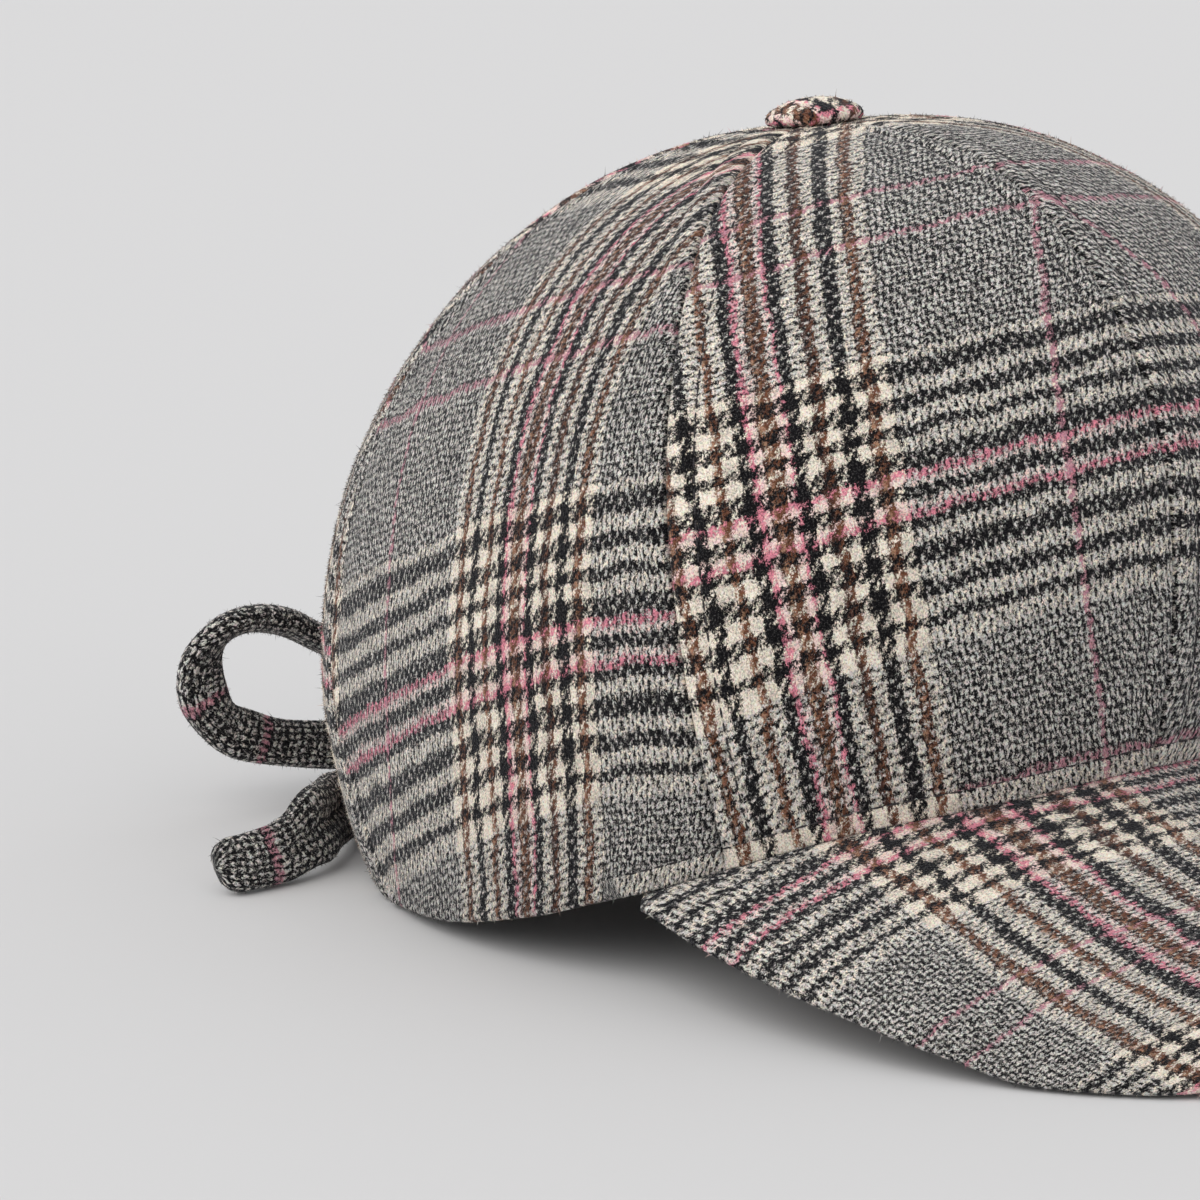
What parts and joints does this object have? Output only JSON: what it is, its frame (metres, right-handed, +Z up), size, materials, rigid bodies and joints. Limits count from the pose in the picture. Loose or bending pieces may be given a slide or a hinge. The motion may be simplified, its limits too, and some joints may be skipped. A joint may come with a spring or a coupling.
{
  "type": "baseball cap",
  "caption": "Soft panelled cap with a domed crown, covered button, arched peak and a rear opening closed by a tied bow.",
  "frame": {"origin": "on the floor under the middle of the whole cap, bow and peak included", "axes": "+Z up, with the cap standing on its back rim and the two side edges of the peak; the peak points along -Y and the bow along +Y, so the wearer faces -Y and the wearer's left is +X"},
  "size_m": [0.2126, 0.2854, 0.1532],
  "materials": {
    "crown_tweed": "brushed wool tweed in a black, cream, brown and pink check",
    "peak_tweed": "brushed wool tweed in a black, cream, brown and pink check",
    "button_tweed": "brushed wool tweed stretched over a button",
    "bow_tweed": "brushed wool tweed sewn into a soft strap"
  },
  "bodies": {
    "root": {"crown_panel_front_left": "crown_tweed", "crown_panel_front_right": "crown_tweed", "crown_panel_side_left": "crown_tweed", "crown_panel_side_right": "crown_tweed", "crown_panel_rear_right": "crown_tweed", "crown_panel_rear_left": "crown_tweed", "peak": "peak_tweed", "top_button": "button_tweed", "tie_left": "bow_tweed", "tie_right": "bow_tweed", "bow_knot": "bow_tweed", "bow_loop_right": "bow_tweed", "bow_loop_left": "bow_tweed", "bow_tail_right": "bow_tweed", "bow_tail_left": "bow_tweed"}
  },
  "joints": []
}
